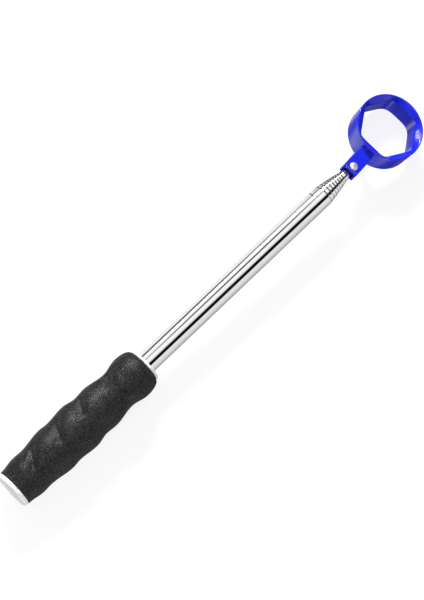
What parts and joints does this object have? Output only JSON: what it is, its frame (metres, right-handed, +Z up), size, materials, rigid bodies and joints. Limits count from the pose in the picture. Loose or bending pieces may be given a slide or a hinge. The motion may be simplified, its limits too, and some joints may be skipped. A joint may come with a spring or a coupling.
{
  "type": "telescopic golf ball retriever",
  "caption": "Hand tool with a ribbed rubber grip, a telescopic polished steel shaft and a tilted plastic ring with a six-sided throat that picks up a golf ball.",
  "frame": {"origin": "centre of the flat rear face of the end cap, on the shaft's axis", "axes": "+X along the shaft towards the ring head, +Z up on the side the ring's cup opens to, +Y to the left when looking along +X"},
  "size_m": [0.4075, 0.0512, 0.0481],
  "materials": {
    "rubber_black": "leather-grained matt moulding",
    "white_plastic": "smooth satin",
    "blue_plastic": "high gloss moulding",
    "polished_steel": "mirror polished",
    "bright_steel": "bright zinc plated",
    "spring_bronze": "rolled strip"
  },
  "bodies": {
    "handle": {"grip_sleeve": "rubber_black", "handle_core": "white_plastic", "front_collar": "white_plastic", "end_cap": "white_plastic", "tube_stop": "white_plastic", "outer_tube": "polished_steel"},
    "section_2": {"tube_section_2": "polished_steel", "friction_shim_2": "spring_bronze"},
    "section_3": {"tube_section_3": "polished_steel", "friction_shim_3": "spring_bronze"},
    "section_4": {"tube_section_4": "polished_steel", "friction_shim_4": "spring_bronze"},
    "section_5": {"tube_section_5": "polished_steel", "friction_shim_5": "spring_bronze"},
    "section_6": {"tube_section_6": "polished_steel", "friction_shim_6": "spring_bronze"},
    "section_7": {"tube_section_7": "polished_steel", "friction_shim_7": "spring_bronze"},
    "section_8": {"tube_section_8": "polished_steel", "friction_shim_8": "spring_bronze"},
    "section_9_carrier": {"friction_shim_9": "spring_bronze"},
    "section_9": {"tube_section_9": "polished_steel", "head_tang": "bright_steel"},
    "head": {"ring_head": "blue_plastic", "pivot_rivet": "bright_steel"}
  },
  "joints": [
    {"name": "slide_2", "type": "slide", "parent": "handle", "child": "section_2", "axis": [1, 0, 0], "range_m": [0, 0.2]},
    {"name": "slide_3", "type": "slide", "parent": "section_2", "child": "section_3", "axis": [1, 0, 0], "range_m": [0, 0.2]},
    {"name": "slide_4", "type": "slide", "parent": "section_3", "child": "section_4", "axis": [1, 0, 0], "range_m": [0, 0.2]},
    {"name": "slide_5", "type": "slide", "parent": "section_4", "child": "section_5", "axis": [1, 0, 0], "range_m": [0, 0.2]},
    {"name": "slide_6", "type": "slide", "parent": "section_5", "child": "section_6", "axis": [1, 0, 0], "range_m": [0, 0.2]},
    {"name": "slide_7", "type": "slide", "parent": "section_6", "child": "section_7", "axis": [1, 0, 0], "range_m": [0, 0.2]},
    {"name": "slide_8", "type": "slide", "parent": "section_7", "child": "section_8", "axis": [1, 0, 0], "range_m": [0, 0.2]},
    {"name": "slide_9", "type": "slide", "parent": "section_8", "child": "section_9_carrier", "axis": [1, 0, 0], "range_m": [0, 0.2]},
    {"name": "tip_turn", "type": "hinge", "parent": "section_9_carrier", "child": "section_9", "pos_m": [0.33, 0, 0], "axis": [1, 0, 0], "continuous": true},
    {"name": "head_play", "type": "hinge", "parent": "section_9", "child": "head", "pos_m": [0.34033, 0, -0.00168], "axis": [0.2605, 0, 0.9655], "range_deg": [-8.5, 1.5]}
  ]
}
